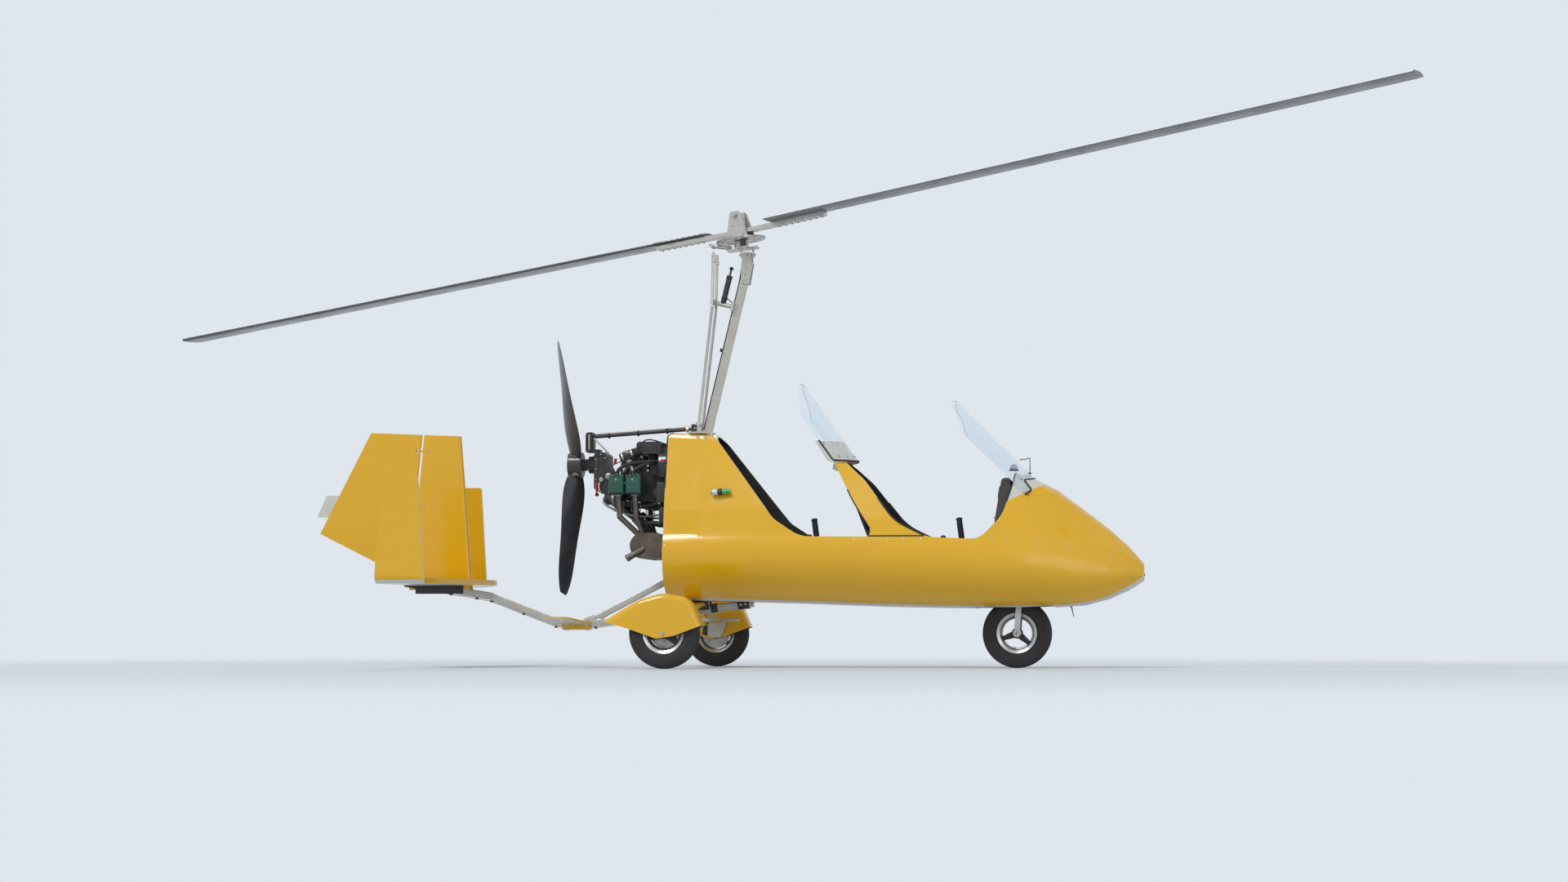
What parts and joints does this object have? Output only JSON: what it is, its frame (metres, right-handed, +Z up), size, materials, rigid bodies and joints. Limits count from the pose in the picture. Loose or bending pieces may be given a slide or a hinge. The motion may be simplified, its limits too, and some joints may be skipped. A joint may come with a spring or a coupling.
{
  "type": "gyrocopter",
  "caption": "Open tandem gyrocopter: yellow pod on three wheels, pusher propeller, tilting mast head with a teetering rotor, and a U-shaped tail with a rudder",
  "frame": {"origin": "on the ground under the rotor's teeter bolt, which is the bottom centre of the whole part's box", "axes": "+X forward towards the nose, +Y to port, +Z up"},
  "size_m": [7.971, 2.8116, 3.2383],
  "materials": {
    "yellow_skin": "glossy yellow gelcoat over glass fibre; the fuselage's belly is off-white",
    "pale_skin": "pale grey gelcoat",
    "black_panel": "matte black composite",
    "clear_sheet": "clear acrylic",
    "seat_fabric": "black seat fabric over foam",
    "steel_tube": "pale satin stainless tube",
    "dark_metal": "black painted metal",
    "bare_aluminium": "pale machined aluminium",
    "tyre": "black rubber",
    "rim_metal": "silver rim with a black spider",
    "engine_metal": "dark cast engine metal",
    "cover_green": "dark green rocker covers",
    "exhaust_steel": "heat-stained steel",
    "blade_black": "black composite",
    "lamp_red": "red lamp glass",
    "lamp_green": "green lamp glass"
  },
  "bodies": {
    "airframe": {"fuselage": "yellow_skin", "nose_cowl": "yellow_skin", "cockpit_arch": "yellow_skin", "side_panel_left": "yellow_skin", "side_panel_right": "yellow_skin", "windshield_fairing": "pale_skin", "firewall": "black_panel", "wheel_well": "black_panel", "instrument_panel": "black_panel", "windshield_front": "clear_sheet", "windshield_rear": "clear_sheet", "seat_front": "black_panel", "seat_rear": "black_panel", "cushion_front": "seat_fabric", "cushion_rear": "seat_fabric", "stick_front": "dark_metal", "stick_rear": "dark_metal", "lamp_left": "lamp_red", "lamp_right": "lamp_green", "belly_channel": "black_panel", "rear_screen_frame": "pale_skin", "steering_tube": "steel_tube", "keel_frame": "steel_tube", "mast": "steel_tube", "mast_arm": "steel_tube", "trim_cylinder": "dark_metal", "control_rod_left": "bare_aluminium", "control_rod_right": "bare_aluminium", "gear_bow": "yellow_skin", "axle_plate_left": "steel_tube", "axle_plate_right": "steel_tube", "mudguard_left": "yellow_skin", "mudguard_right": "yellow_skin", "stabiliser": "yellow_skin", "fin": "yellow_skin", "keel_winglets": "yellow_skin", "engine_block": "engine_metal", "rocker_covers_left": "cover_green", "rocker_covers_right": "cover_green", "intake": "dark_metal", "exhaust": "exhaust_steel", "radiator": "dark_metal", "engine_frame": "steel_tube", "prerotator_drive": "dark_metal"},
    "steering": {"nose_fork": "bare_aluminium"},
    "nose_wheel": {"tyre_nose": "tyre", "rim_nose": "rim_metal"},
    "main_wheel_left": {"tyre_main_left": "tyre", "rim_main_left": "rim_metal"},
    "main_wheel_right": {"tyre_main_right": "tyre", "rim_main_right": "rim_metal"},
    "rudder": {"rudder": "yellow_skin", "trim_tab": "bare_aluminium"},
    "propeller": {"propeller": "blade_black"},
    "gimbal": {"gimbal_block": "bare_aluminium"},
    "head": {"head_bridge": "bare_aluminium"},
    "rotor_hub": {"rotor_hub": "bare_aluminium"},
    "rotor": {"hub_bar": "bare_aluminium", "rotor_blade_fore": "blade_black", "rotor_blade_aft": "blade_black"}
  },
  "joints": [
    {"name": "nose_steering", "type": "hinge", "parent": "airframe", "child": "steering", "pos_m": [1.7, 0, 0.55], "axis": [0, 0, 1], "range_deg": [-30, 30]},
    {"name": "nose_wheel_spin", "type": "hinge", "parent": "steering", "child": "nose_wheel", "pos_m": [1.677, 0, 0.205], "axis": [0, 1, 0], "continuous": true},
    {"name": "main_wheel_left_spin", "type": "hinge", "parent": "airframe", "child": "main_wheel_left", "pos_m": [-0.28, 0.85, 0.205], "axis": [0, 1, 0], "continuous": true},
    {"name": "main_wheel_right_spin", "type": "hinge", "parent": "airframe", "child": "main_wheel_right", "pos_m": [-0.28, -0.85, 0.205], "axis": [0, 1, 0], "continuous": true},
    {"name": "rudder_hinge", "type": "hinge", "parent": "airframe", "child": "rudder", "pos_m": [-2.062, 0, 0.54], "axis": [0.0962, 0, 0.9954], "range_deg": [-25, 25]},
    {"name": "propeller_spin", "type": "hinge", "parent": "airframe", "child": "propeller", "pos_m": [-0.994, 0, 1.226], "axis": [1, 0, 0], "continuous": true},
    {"name": "head_pitch", "type": "hinge", "parent": "airframe", "child": "gimbal", "pos_m": [0.056, 0, 2.492], "axis": [0, 1, 0], "range_deg": [-11, 6]},
    {"name": "head_roll", "type": "hinge", "parent": "gimbal", "child": "head", "pos_m": [0.056, 0, 2.492], "axis": [1, 0, 0], "range_deg": [-8, 8]},
    {"name": "rotor_spin", "type": "hinge", "parent": "head", "child": "rotor_hub", "pos_m": [0, 0, 2.73], "axis": [-0.108, 0, 0.9942], "continuous": true},
    {"name": "rotor_teeter", "type": "hinge", "parent": "rotor_hub", "child": "rotor", "pos_m": [0, 0, 2.73], "axis": [0.299, 0.9537, 0.0325], "range_deg": [-6.7, 9.3]}
  ]
}
